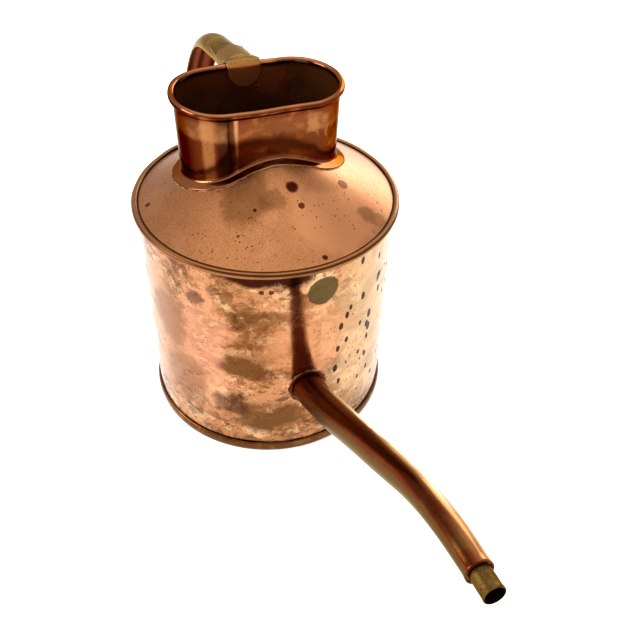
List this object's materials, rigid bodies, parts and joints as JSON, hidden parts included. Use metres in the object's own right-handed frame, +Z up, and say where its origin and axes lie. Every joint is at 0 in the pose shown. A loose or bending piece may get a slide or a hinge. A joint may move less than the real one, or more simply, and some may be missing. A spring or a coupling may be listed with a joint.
{
  "type": "watering can",
  "caption": "Copper watering can: wired cylinder body, coned shoulder, oblong open neck, half-round strap handle and a long bent spout with a plain brass ferrule.",
  "frame": {"origin": "centre of the foot band's underside, on the surface the can stands on", "axes": "+Z up, +X from the body's middle towards the spout, +Y to the left of the spout as seen from the handle"},
  "size_m": [0.5508, 0.2, 0.268],
  "materials": {
    "copper_body": "polished copper sheet with brown and pink tarnish, scattered dark spots",
    "copper_shoulder": "satin, evenly browned copper sheet",
    "copper_neck": "polished copper sheet, dark inside",
    "copper_spout": "polished dark red-brown copper tube",
    "copper_handle": "worn olive-brown copper strap",
    "brass_ferrule": "dull olive brass",
    "iron_wire": "plain wire, wrapped in the sheet",
    "soft_solder": "dull grey solder",
    "copper_rivet": "domed copper rivets"
  },
  "bodies": {
    "root": {"body_wall": "copper_body", "base_plate": "copper_body", "foot_band": "copper_body", "base_solder": "soft_solder", "shoulder_plate": "copper_shoulder", "shoulder_wire": "iron_wire", "shoulder_solder": "soft_solder", "neck_wall": "copper_neck", "neck_rim_wire": "iron_wire", "neck_solder": "soft_solder", "spout_tube": "copper_spout", "spout_root_collar": "copper_spout", "spout_solder": "soft_solder", "spout_ferrule": "brass_ferrule", "tip_solder": "soft_solder", "handle_strap": "copper_handle", "handle_tongue": "copper_handle", "handle_solder": "soft_solder", "handle_foot_plate": "copper_handle", "handle_rivets": "copper_rivet"}
  },
  "joints": []
}
